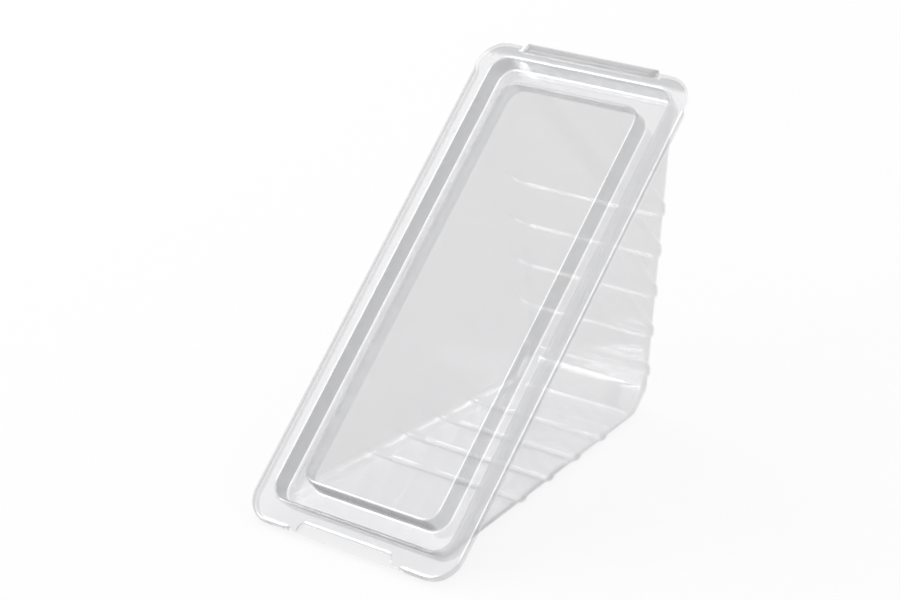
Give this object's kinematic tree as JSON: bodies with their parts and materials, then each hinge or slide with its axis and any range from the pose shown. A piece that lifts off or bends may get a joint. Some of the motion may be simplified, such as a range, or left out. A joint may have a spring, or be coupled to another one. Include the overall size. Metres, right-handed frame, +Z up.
{
  "type": "plastic clamshell pack",
  "caption": "Clear plastic clamshell wedge pack: deep three-cornered ribbed tray with a hinged plug-in window lid, standing on one leg to hold and show a cut sandwich.",
  "frame": {"origin": "middle of the footprint's bounding box, on the surface the pack stands on", "axes": "+X to the right across the mouth, +Y to the back, +Z up; the sloped lid faces front and up, with the living hinge at its top edge"},
  "size_m": [0.087, 0.1436, 0.1217],
  "materials": {
    "clear_plastic": "clear, glossy"
  },
  "bodies": {
    "tray": {"tray": "clear_plastic", "hinge": "clear_plastic"},
    "lid": {"lid": "clear_plastic"}
  },
  "joints": [
    {"name": "lid_hinge", "type": "hinge", "parent": "tray", "child": "lid", "pos_m": [0, 0.07059, 0.12022], "axis": [-1, 0, 0], "range_deg": [0, 180], "deforming": ["hinge"]}
  ]
}
